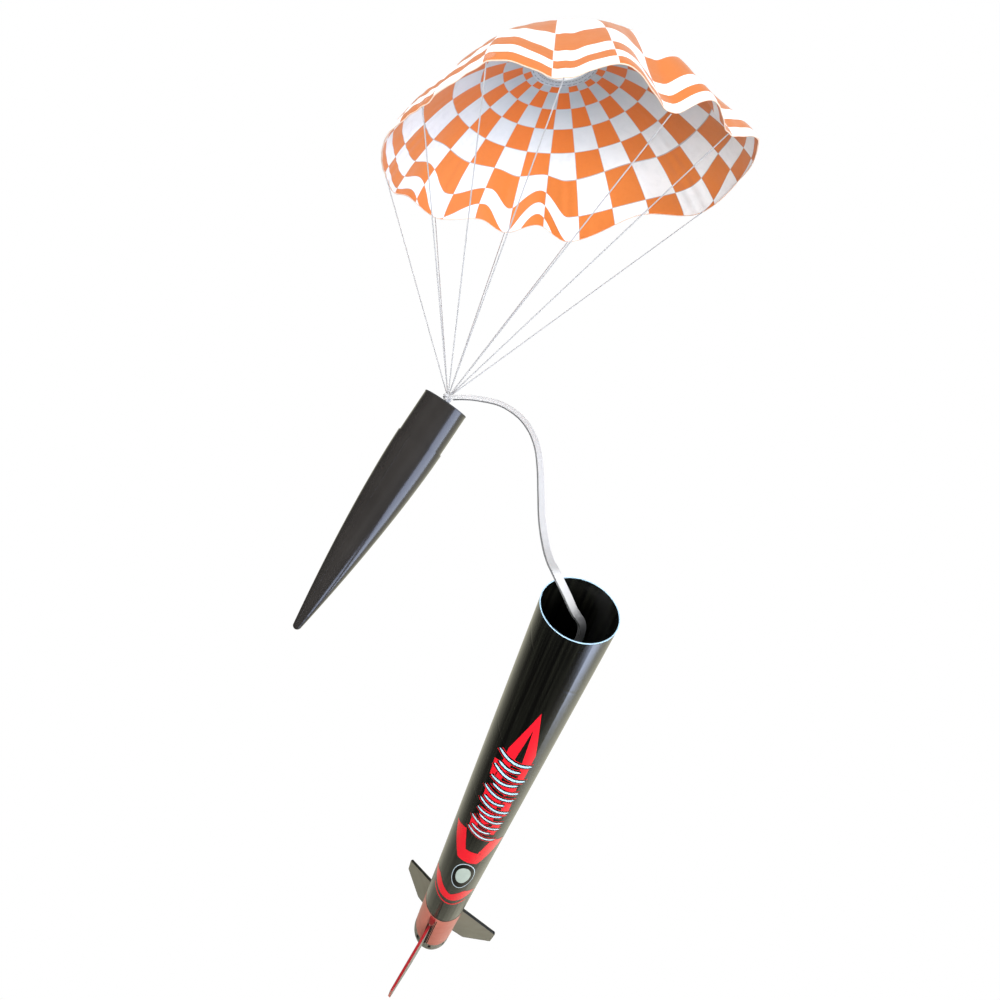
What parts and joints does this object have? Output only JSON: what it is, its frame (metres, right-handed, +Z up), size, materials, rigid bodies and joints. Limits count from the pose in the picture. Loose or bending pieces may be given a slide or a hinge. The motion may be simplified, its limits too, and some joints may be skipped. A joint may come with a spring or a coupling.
{
  "type": "model rocket",
  "caption": "Slim three-finned model rocket hanging under its open round canopy, with the nose cone and body tube joined by a flat elastic shock cord.",
  "frame": {"origin": "middle of the spill hole at the canopy's crown", "axes": "+Z up, the way the canopy pulls; +X to the viewer's right and +Y away from the viewer; the airframe leans 42.2 degrees from the vertical with its mouth towards -Y"},
  "size_m": [0.2339, 0.2719, 0.5553],
  "materials": {
    "canopy_film": "checked film, orange and white, with a soft sheen",
    "ring_print": "printed film ring",
    "tab_tape": "matt tape",
    "line_thread": "twisted white thread",
    "elastic": "woven elastic",
    "tube_black": "glossy black paper tube, pale cut edge",
    "kraft_paper": "folded paper patch",
    "card": "die-cut card",
    "kraft_tube": "spiral-wound paper tube",
    "can_red": "dull red moulding",
    "fin_plastic": "satin dark moulding",
    "lug_black": "black paper tube",
    "nose_plastic": "glossy black moulding",
    "ring_grey": "grey moulding"
  },
  "bodies": {
    "canopy_set": {"canopy": "canopy_film", "spill_ring": "ring_print", "line_tabs": "tab_tape", "shroud_line_01": "line_thread", "shroud_line_02": "line_thread", "shroud_line_03": "line_thread", "shroud_line_04": "line_thread", "shroud_line_05": "line_thread", "shroud_line_06": "line_thread", "shroud_line_07": "line_thread", "shroud_line_08": "line_thread", "shroud_line_09": "line_thread", "shroud_line_10": "line_thread"},
    "harness": {"knot": "elastic", "cord_loop": "elastic"},
    "airframe": {"shock_cord": "elastic", "body_tube": "tube_black", "cord_anchor": "kraft_paper", "front_centering_ring": "card", "rear_centering_ring": "card", "motor_tube": "kraft_tube", "thrust_ring": "kraft_tube", "fin_can": "can_red", "fin_front": "fin_plastic", "fin_right": "fin_plastic", "fin_left": "fin_plastic", "launch_lug": "lug_black"},
    "nose": {"nose_cone": "nose_plastic", "nose_base": "nose_plastic"},
    "tail_ring": {"lock_ring": "ring_grey"}
  },
  "joints": [
    {"name": "harness_swing", "type": "hinge", "parent": "canopy_set", "child": "harness", "pos_m": [-0.06, -0.0155, -0.179], "axis": [1, 0, 0], "range_deg": [-15, 15]},
    {"name": "airframe_swing", "type": "hinge", "parent": "harness", "child": "airframe", "pos_m": [-0.06, -0.0155, -0.179], "axis": [0, 1, 0], "range_deg": [-8, 15]},
    {"name": "nose_swing", "type": "hinge", "parent": "harness", "child": "nose", "pos_m": [-0.06117, -0.0155, -0.18225], "axis": [0, 1, 0], "range_deg": [-15, 25]},
    {"name": "lock_ring_twist", "type": "hinge", "parent": "airframe", "child": "tail_ring", "pos_m": [-0.07962, 0.09279, -0.52114], "axis": [-0.1992, 0.6415, -0.7408], "range_deg": [0, 45]}
  ]
}
